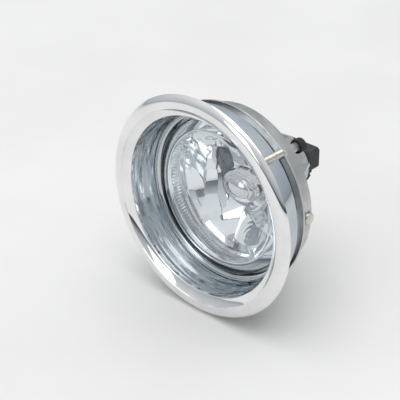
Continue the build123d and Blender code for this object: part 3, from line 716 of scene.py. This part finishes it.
# Facets seen from the front: corners (x, z), tilt, lift, flatness. The corners are millimetres on the
# dish, carried there from points picked on the photo and then put in order. These facets stand on both
# sides, mirrored.
SIDE_FACETS = [
    ([(-47.0, 12.0), (-36.7, -9.1), (-34.2, -18.0), (-32.8, -26.4), (-32.2, -31.0), (-40.0, -38.0),
      (-47.0, -20.0)], (0.0, -0.05), 0.0, 0.65),
    ([(-36.7, -9.1), (-34.2, -18.0), (-35.6, -2.5), (-35.4, 6.1), (-33.4, 17.2), (-33.2, 24.0),
      (-36.7, 30.0)], (0.10, 0.0), 0.4, 0.4),
    ([(-34.2, -18.9), (-27.8, -18.9), (-31.3, -2.7), (-35.6, -2.5)], (0.0, 0.0), 0.3, 0.55),
    ([(-35.6, -2.5), (-31.3, -2.7), (-31.2, 5.8), (-35.4, 6.1)], (0.10, 0.22), 0.1, 0.6),
    ([(-35.4, 6.1), (-31.2, 5.8), (-30.0, 12.6), (-34.3, 12.8)], (0.02, -0.06), 0.5, 0.6),
    ([(-34.3, 12.8), (-30.0, 12.6), (-29.1, 16.2), (-33.5, 16.4)], (0.10, 0.10), 0.1, 0.6),
    ([(-33.5, 16.4), (-29.1, 16.2), (-27.5, 22.0), (-33.2, 24.0)], (0.0, -0.10), 0.6, 0.6),
    ([(-33.2, 24.0), (-27.5, 22.0), (-24.5, 29.0), (-31.0, 34.0), (-36.7, 30.0)], (0.15, 0.10), 0.2, 0.6),
    ([(-31.0, 34.0), (-24.5, 29.0), (-20.0, 34.0), (-24.0, 42.0)], (-0.12, -0.10), 0.5, 0.6),
    ([(-31.3, 1.8), (-30.8, 1.8), (-27.9, -9.1), (-25.8, -16.0), (-21.5, -22.6), (-20.6, -30.8),
      (-27.6, -19.8), (-31.3, -2.7)], (0.0, 0.0), 0.4, 0.5),
    ([(-29.1, 16.2), (-23.8, 15.3), (-18.0, 16.0), (-17.0, 26.0), (-24.5, 29.0), (-27.5, 22.0)],
     (-0.05, 0.12), 0.4, 0.6),
    ([(-24.5, 29.0), (-17.0, 26.0), (-12.0, 33.0), (-14.0, 43.0), (-20.0, 34.0)], (0.10, -0.10), 0.1, 0.6),
    ([(-23.8, 15.3), (-18.0, 16.0), (-17.0, 8.0), (-23.2, 8.0)], (0.0, 0.10), 0.3, 0.6),
    ([(-23.2, 8.0), (-17.0, 8.0), (-16.5, 0.0), (-22.7, 0.0)], (0.05, -0.05), 0.0, 0.6),
    ([(-18.0, 16.0), (-11.0, 15.0), (-10.5, 6.0), (-17.0, 8.0)], (0.0, -0.06), 0.1, 0.6),
    ([(-17.0, 8.0), (-10.5, 6.0), (-12.0, 0.0), (-16.5, 0.0)], (0.06, 0.08), 0.4, 0.6),
    ([(-22.7, 0.0), (-12.0, 0.0), (-11.5, -9.0), (-24.0, -9.1)], (0.05, 0.0), 0.2, 0.6),
    ([(-17.0, 26.0), (-18.0, 16.0), (-9.0, 15.0), (-8.0, 27.0)], (0.0, 0.06), 0.0, 0.6),
]
# Facets beside the tall columns, also on both sides, given a dark grey coat as a painted dark reflection.
PAINTED_DARK_REFLECTION_FACETS = [
    ([(-28.9, 15.3), (-23.8, 15.3), (-22.6, 2.0), (-24.0, -9.1), (-27.9, -9.1), (-30.8, 1.8)],
     (0.05, 0.0), 0.0, 0.7),
]
# These stand once.
SINGLE_FACETS = [
    ([(-34.2, -18.9), (-27.8, -18.9), (-26.0, -22.7), (-20.5, -30.8), (-17.7, -38.6), (-18.5, -45.0),
      (-31.0, -37.0), (-32.2, -31.0), (-32.8, -26.4)], (0.02, 0.02), 0.0, 0.6),
    ([(-21.5, -22.6), (-24.0, -9.1), (-11.5, -9.0), (-10.0, -18.0), (-8.2, -30.9), (-18.2, -33.4),
      (-20.6, -30.8)], (-0.23, -0.43), 0.3, 0.9),
    ([(-20.5, -30.8), (-18.2, -33.4), (-8.2, -30.9), (-4.0, -41.8), (-4.5, -46.0), (-18.5, -46.0),
      (-17.7, -38.6)], (0.08, -0.36), 0.1, 0.85),
    ([(-8.2, -30.9), (-10.0, -18.0), (-5.0, -22.0), (-4.2, -27.3), (-6.0, -32.5), (-4.0, -41.8)],
     (0.10, 0.10), 0.4, 0.6),
    ([(-5.0, -22.0), (4.0, -22.0), (10.5, -25.0), (13.0, -31.9), (5.1, -30.6), (-4.2, -27.3)],
     (0.0, 0.04), 0.5, 0.6),
    ([(-10.0, -18.0), (-11.5, -9.0), (11.5, -9.0), (10.5, -25.0), (4.0, -22.0), (-5.0, -22.0)],
     (0.0, 0.16), 0.2, 0.6),
    ([(10.5, -25.0), (11.5, -9.0), (24.0, -9.1), (25.8, -16.0), (27.7, -19.8), (27.7, -38.0), (17.4, -46.0),
      (17.4, -37.9), (13.0, -31.9)], (-0.04, 0.16), 0.2, 0.6),
    ([(27.7, -19.8), (27.8, -18.9), (34.2, -18.9), (32.8, -26.4), (32.2, -31.0), (31.0, -37.0),
      (27.7, -38.0)], (0.0, 0.0), 0.1, 0.6),
    ([(-8.0, 27.0), (-9.0, 15.0), (9.0, 15.0), (8.0, 27.0)], (0.0, 0.0), 0.3, 0.6),
    ([(-17.0, 26.0), (-8.0, 27.0), (-7.0, 46.0), (-14.0, 43.0), (-12.0, 33.0)], (0.0, 0.08), 0.3, 0.6),
    ([(8.0, 27.0), (17.0, 26.0), (12.0, 33.0), (14.0, 43.0), (7.0, 46.0)], (0.0, 0.08), 0.3, 0.6),
    ([(-8.0, 27.0), (8.0, 27.0), (7.0, 46.0), (-7.0, 46.0)], (0.0, 0.0), 0.0, 0.6),
]
# The rippled facet at the bottom, with the height of its ripple as a fifth value.
RIPPLED_FACET = ([(-4.2, -27.3), (5.1, -30.6), (13.0, -31.9), (17.4, -37.9), (17.4, -46.0), (-4.5, -46.0),
                  (-4.0, -41.8), (-6.0, -32.5)], (0.04, -0.30), 0.3, 0.5, 0.018)


def both_sides(facets):
    """The facets and their mirror images across the upright middle plane."""
    mirrored = [([(-x, z) for x, z in reversed(c)], (-t[0], t[1]), lift, f) for c, t, lift, f in facets]
    return facets + mirrored


FLUTES = 140
FLUTE_DEPTH = 0.14
FLUTE_START_Y = 23.0
FLUTE_END_Y = 29.0
FLUTED_R = 44.6
FLUTED_FLARE = 0.4
FLUTED_END_Y = 29.2
FLUTED_LENGTH = 6.8
BEVEL_R = 43.75
RIM_R = 46.9
FLANGE_R = 49.6
FLANGE_Y = 24.6
FLANGE_REAR_Y = 26.0
COLLAR_R = 14.5
COLLAR_BORE_R = 11.5


def flute(angle, r, y):
    """Radius of the fluted skirt: scallops between the mouth and the bevel."""
    if r > MOUTH_IN_R or not FLUTE_START_Y < y < FLUTE_END_Y:
        return r
    return r - FLUTE_DEPTH * abs(math.sin(FLUTES * angle / 2))


def skirt_profile():
    """Rolled rim, mounting flange, fluted skirt and bright bevel, closed behind the dish."""
    bevel = [(DISH_R, DISH_EDGE_Y + 0.3), (BEVEL_R, 32.2), (BEVEL_R, 31.2), (FLUTED_R, 29.4)]
    skirt = []
    for t in (0, 0.1, 0.4, 0.7, 0.92, 1.0):
        skirt.append((FLUTED_R + FLUTED_FLARE * t, FLUTED_END_Y - FLUTED_LENGTH * t))
    rim = arc((MOUTH_IN_R, 22.2), (45.95, 21.5), (RIM_R, 22.4), 9)
    back = rounded([
        (RIM_R, FLANGE_Y, 0.5),
        (FLANGE_R, FLANGE_Y, 0.3),
        (FLANGE_R, FLANGE_REAR_Y, 0.0),
        (RIM_R, FLANGE_REAR_Y, 0.0),
        (46.0, 34.0, 0.0),
        (42.6, 38.4, 0.0),
        (42.0, 36.8, 0.0),
    ], 5)
    return bevel + skirt + rim + back


def collar_profile():
    """Ring round the bulb's hole at the bottom of the dish."""
    return rounded([
        (COLLAR_BORE_R, 65.0, 0.4),
        (COLLAR_R, 63.6, 0.3),
        (COLLAR_R, 66.5, 0.0),
        (COLLAR_BORE_R, 67.6, 0.0),
    ], 4)


def build_reflector(bright, painted_reflection):
    """The bright facets with the skirt and collar, and the facets with the painted dark reflection as a
    piece of their own.
    """
    facets = both_sides(SIDE_FACETS + chevrons()) + SINGLE_FACETS + [RIPPLED_FACET]
    skirt = lathe_data(skirt_profile(), FLUTES * 6, flute)
    collar = lathe_data(collar_profile(), 96)
    groups = [tile_data(*facet) for facet in facets] + [skirt, collar]
    piece = build_mesh_piece("reflector_facets", groups, bright, 25.0)
    install(piece, "lamp", "reflector_bright", "reflector")
    # These facets carry the dark grey coat: a painted dark reflection on the bright mirror.
    groups = [tile_data(*facet) for facet in both_sides(PAINTED_DARK_REFLECTION_FACETS)]
    piece = build_mesh_piece("reflector_painted_dark_reflection_facets", groups, painted_reflection, 25.0)
    install(piece, "lamp", "reflector_bright", "reflector")


# ---------------------------------------------------------------- bulb shield

SHIELD_R = 10.9
SHIELD_T = 0.7
SHIELD_STRETCH = 1.38
SHIELD_FLATTEN = 0.89
SHIELD_MIDDLE_Y = 42.0
SHIELD_SKIRT = 6.5
SHIELD_CREASES = (0.82, 1.16)
CREASE_DEPTH = 0.28
CREASE_WIDTH = 0.045


def shield_profile():
    """Quarter circle with two creases, and a skirt, before the cap is stretched and flattened."""
    inner_r = SHIELD_R - SHIELD_T
    turns = [math.pi / 2 * i / 90 for i in range(91)]
    outside = []
    for t in turns:
        dents = [math.exp(-((t - crease) / CREASE_WIDTH) ** 2) for crease in SHIELD_CREASES]
        r = SHIELD_R - sum(CREASE_DEPTH * dent for dent in dents)
        outside.append((r * math.sin(t), -r * math.cos(t)))
    edge_y = SHIELD_SKIRT - 0.3
    edge = arc((SHIELD_R, edge_y), (SHIELD_R - SHIELD_T / 2, SHIELD_SKIRT), (inner_r, edge_y), 7)
    inside = [(inner_r * math.sin(t), -inner_r * math.cos(t)) for t in reversed(turns)]
    return [(0, outside[0][1])] + outside[1:] + edge + inside[:-1] + [(0, inside[-1][1])]


def build_shield(material):
    piece = lathe("shield_cap", shield_profile(), material, 192, sharp_degrees=50.0)
    for vertex in piece.data.vertices:
        vertex.co.x *= SHIELD_STRETCH
        vertex.co.y = SHIELD_MIDDLE_Y * MM + vertex.co.y * SHIELD_FLATTEN
    install(piece, "lamp", "shield_bright", "bulb_shield")


# ---------------------------------------------------------------- threads and filament

THREAD_PITCH = 0.8
THREAD_DEPTH = 0.32
SHANK_R = 2.5
THREADED_R = 2.45
STUD_THREAD = (1.2, 19.2)
SCREW_THREAD = (42.3, 59.0)
STUD_CIRCLE_R = 68.75
STUD_HEAD_R = 3.4
STUD_HEAD_Y = -1.5
STUD_TIP_R = 1.9
STUD_TIP_Y = 20.0
SCREW_Z = -51.5
SCREW_TIP_Y = 41.5
SHANK_END_Y = 60.0
SCREW_HEAD_R = 4.6
SCREW_HEAD_END_Y = 64.35
SOCKET_R = 2.0
SOCKET_Y = 61.95


def thread(angle, r, y):
    """Radius of a thread's flank at an angle and a place along the axis."""
    share = (y / THREAD_PITCH - angle / TAU) % 1.0
    return r - THREAD_DEPTH * abs(2 * share - 1)


def on_thread(r, y, span):
    """Whether a ring is of the shank's full radius and within the threaded length."""
    return r > THREADED_R and span[0] < y < span[1]


def threaded_rings(radius, y0, y1):
    count = round((y1 - y0) / THREAD_PITCH * 6)
    return [(radius, y0 + (y1 - y0) * i / count) for i in range(count + 1)]


def stud_radius(angle, r, y):
    return thread(angle, r, y) if on_thread(r, y, STUD_THREAD) else r


def stud_profile():
    """Flat head, undercut and threaded shank with a cone point."""
    head = [
        (0, STUD_HEAD_Y),
        (STUD_HEAD_R - 0.1, STUD_HEAD_Y),
        (STUD_HEAD_R, STUD_HEAD_Y + 0.1),
        (STUD_HEAD_R, REAR_Y),
        (STUD_HEAD_R - 0.5, REAR_Y),
        (SHANK_R, 0.0),
    ]
    return head + threaded_rings(SHANK_R, 0.4, 19.3) + [(STUD_TIP_R, STUD_TIP_Y), (0, STUD_TIP_Y)]


def build_studs(material):
    stud = lathe_data(stud_profile(), 36, stud_radius)
    studs = place_copies(*stud, on_circle(STUD_CIRCLE_R, STUD_ANGLES))
    piece = build_mesh_piece("studs_threaded", [studs], material, 50.0)
    install(piece, "carrier", "zinc_steel", "bezel_studs")


def screw_radius(angle, r, y):
    """Thread on the shank; hexagon on the head and in its socket."""
    if y < SHANK_END_Y:
        return thread(angle, r, y) if on_thread(r, y, SCREW_THREAD) else r
    return r * math.cos(math.pi / 6) / math.cos(angle % (math.pi / 3) - math.pi / 6)


def screw_profile():
    """Threaded shank and a hexagon head with a hexagon socket in its end."""
    shank = [(0, SCREW_TIP_Y), (2.0, SCREW_TIP_Y)] + threaded_rings(SHANK_R, 42.1, 59.2)
    head = [
        (SHANK_R, SHANK_END_Y + 0.1),
        (SCREW_HEAD_R, SHANK_END_Y + 0.15),
        (SCREW_HEAD_R, SCREW_HEAD_END_Y - 0.35),
        (SCREW_HEAD_R - 0.3, SCREW_HEAD_END_Y),
        (SOCKET_R + 0.2, SCREW_HEAD_END_Y),
        (SOCKET_R, SCREW_HEAD_END_Y - 0.2),
        (SOCKET_R, SOCKET_Y),
        (0, SOCKET_Y),
    ]
    return shank + head


def build_aim_screw(material):
    screw = place_copies(*lathe_data(screw_profile(), 48, screw_radius), [(0.0, SCREW_Z)])
    piece = build_mesh_piece("screw_threaded", [screw], material, 25.0)
    install(piece, "aim_screw", "zinc_steel", "aim_screw")


def build_filament(material):
    """Coiled wire between the ends of the leads."""
    coil_r, wire_r, turns, around, sides = 0.62, 0.12, 11, 24, 8
    start_y, length = 50.62, 4.76
    verts, faces = [], []
    count = turns * around
    for i in range(count + 1):
        angle = TAU * i / around
        y = start_y + length * i / count
        for k in range(sides):
            turn = TAU * k / sides
            out = (coil_r + wire_r * math.cos(turn)) * MM
            along = (y + wire_r * math.sin(turn)) * MM
            verts.append((out * math.cos(angle), along, out * math.sin(angle)))
    for i in range(count):
        for k in range(sides):
            n = (k + 1) % sides
            faces.append((i * sides + k, i * sides + n, (i + 1) * sides + n, (i + 1) * sides + k))
    faces.append(tuple(reversed(range(sides))))
    faces.append(tuple(range(count * sides, (count + 1) * sides)))
    piece = build_mesh_piece("filament_coil", [(verts, faces)], material, 60.0)
    install(piece, "bulb", "tungsten", "filament")


# ---------------------------------------------------------------- assembly

add_camera()
add_world()
add_softbox("top_softbox", (0.1, -0.15, 1.0), 3.0, (3.0, 3.0), 40.0)
add_softbox("front_softbox", (-0.12, -0.93, 0.35), 2.4, (0.9, 1.1), 4.6)
add_floor(floor_material())

chrome = plated("bezel_plate", (0.80, 0.80, 0.80), (0.86, 0.86, 0.86), (0.02, 0.05), 0.02)
well_chrome = plated("well_plate", (0.50, 0.54, 0.575), (0.56, 0.60, 0.635), (0.02, 0.06), 0.03)
mirror = plated("reflector_coat", (0.86, 0.87, 0.88), (0.90, 0.91, 0.92), (0.02, 0.05), 0.01)
# Dark grey coat for some reflector facets: a painted dark reflection, not a colour of the mirror.
painted_reflection = plated("painted_dark_reflection_coat", (0.075, 0.087, 0.10), (0.09, 0.103, 0.117), (0.04, 0.08), 0.01)
cap_chrome = plated("shield_plate", (0.66, 0.665, 0.67), (0.72, 0.725, 0.73), (0.03, 0.07), 0.01)
glass = clear("lens_material", (0.955, 0.978, 0.985), 1.49, (0.0, 0.01))
frosted = moulded("frosted_glass", (0.78, 0.80, 0.80), (0.84, 0.86, 0.86), (0.25, 0.4), 1200.0, 0.02)
quartz = clear("bulb_quartz", (0.98, 0.99, 1.0), 1.46, (0.0, 0.01))
rubber = moulded("black_rubber", (0.018, 0.018, 0.018), (0.03, 0.03, 0.03), (0.6, 0.8), 3000.0, 0.05, 0.3)
zinc = rough_metal("zinc_plate", (0.52, 0.51, 0.47), (0.66, 0.65, 0.60), (0.22, 0.38), 1800.0, 0.01)
steel = rough_metal("bracket_zinc", (0.50, 0.50, 0.49), (0.62, 0.62, 0.61), (0.28, 0.42), 1200.0, 0.02)
cast = rough_metal("cast_aluminium", (0.52, 0.53, 0.54), (0.62, 0.63, 0.64), (0.38, 0.55), 2200.0, 0.06)
silicone = moulded("pale_silicone", (0.62, 0.64, 0.65), (0.72, 0.74, 0.75), (0.3, 0.45), 900.0, 0.03)
nylon = moulded("nylon", (0.72, 0.70, 0.62), (0.80, 0.78, 0.70), (0.35, 0.5), 1500.0, 0.02)
base_black = moulded("base_plastic", (0.02, 0.02, 0.022), (0.035, 0.035, 0.038), (0.42, 0.6), 2600.0, 0.04)
tin = rough_metal("terminal_tin", (0.66, 0.65, 0.60), (0.76, 0.75, 0.70), (0.2, 0.32), 2500.0, 0.01)
tungsten = rough_metal("tungsten_wire", (0.20, 0.19, 0.19), (0.30, 0.29, 0.28), (0.3, 0.45), 4000.0, 0.01)

build_bezel(chrome)
build_cup(well_chrome)
build_lens(glass, frosted)
build_reflector(mirror, painted_reflection)
build_shield(cap_chrome)
build_studs(zinc)
build_aim_screw(zinc)
build_filament(tungsten)

# CAD nodes that stay in view, with their materials.
CAD_LOOKS = {
    "flange_gasket": rubber,
    "bracket_ring": steel,
    "bracket_screws": zinc,
    "pivot_pins": zinc,
    "pivot_bushes": nylon,
    "lamp_housing": cast,
    "lens_seal": silicone,
    "shield_leg": cap_chrome,
    "shield_rivet": zinc,
    "bulb_glass": quartz,
    "lead_wires": zinc,
    "bulb_collar": zinc,
    "bulb_base": base_black,
    "bulb_o_ring": rubber,
    "connector_terminals": tin,
    "aim_screw_clip": zinc,
    "aim_nut": nylon,
    "vent_cap": rubber,
}
# CAD nodes whose sharp edges are broken, with the width of the bevel.
BROKEN_EDGES = {
    "bracket_ring": 0.2,
    "lamp_housing": 0.25,
    "bulb_base": 0.2,
    "aim_nut": 0.15,
    "bulb_collar": 0.15,
}
WELD_REACH = 0.002
for node, material in CAD_LOOKS.items():
    mesh = NODES[node].data
    mesh.materials.clear()
    mesh.materials.append(material)
for node, width in BROKEN_EDGES.items():
    # The loaded faces are split along their edges, so a weld joins them before the bevel.
    weld = NODES[node].modifiers.new("joined_faces", "WELD")
    weld.merge_threshold = WELD_REACH * MM
    bevel = NODES[node].modifiers.new("broken_edges", "BEVEL")
    bevel.width = width * MM
    bevel.segments = 2
    bevel.limit_method = "ANGLE"
    bevel.angle_limit = math.radians(40)
    bevel.harden_normals = True

scene = bpy.context.scene
scene.view_settings.view_transform = "Standard"
scene.cycles.use_denoising = True
scene.cycles.max_bounces = 24
scene.cycles.glossy_bounces = 16
scene.cycles.transmission_bounces = 20
scene.cycles.transparent_max_bounces = 16
